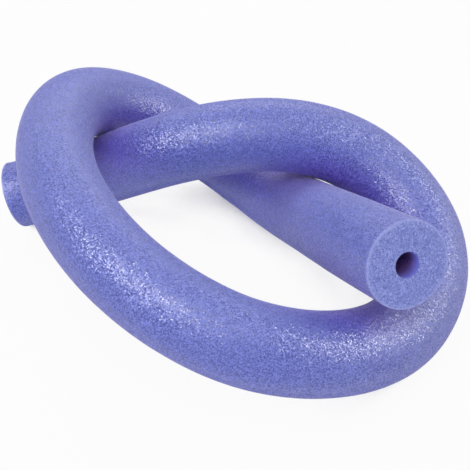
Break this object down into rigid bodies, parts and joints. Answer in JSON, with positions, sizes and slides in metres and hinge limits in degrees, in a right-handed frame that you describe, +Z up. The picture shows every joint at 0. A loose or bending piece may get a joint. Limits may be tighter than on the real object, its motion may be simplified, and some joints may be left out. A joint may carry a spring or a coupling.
{
  "type": "pool noodle",
  "caption": "Round blue foam pool noodle with a bore along its middle and square-cut ends, tied in a loose overhand knot and lying on a flat surface.",
  "frame": {"origin": "on the flat surface that the noodle lies on, under the middle of its box", "axes": "+Z is up from the surface; +X runs along the knot's longest reach, away from the low rear end; -Y is the side that the raised front end points to"},
  "size_m": [0.4244, 0.3946, 0.1677],
  "materials": {
    "foam": "matte"
  },
  "bodies": {
    "root": {"foam_tube": "foam"}
  },
  "joints": []
}
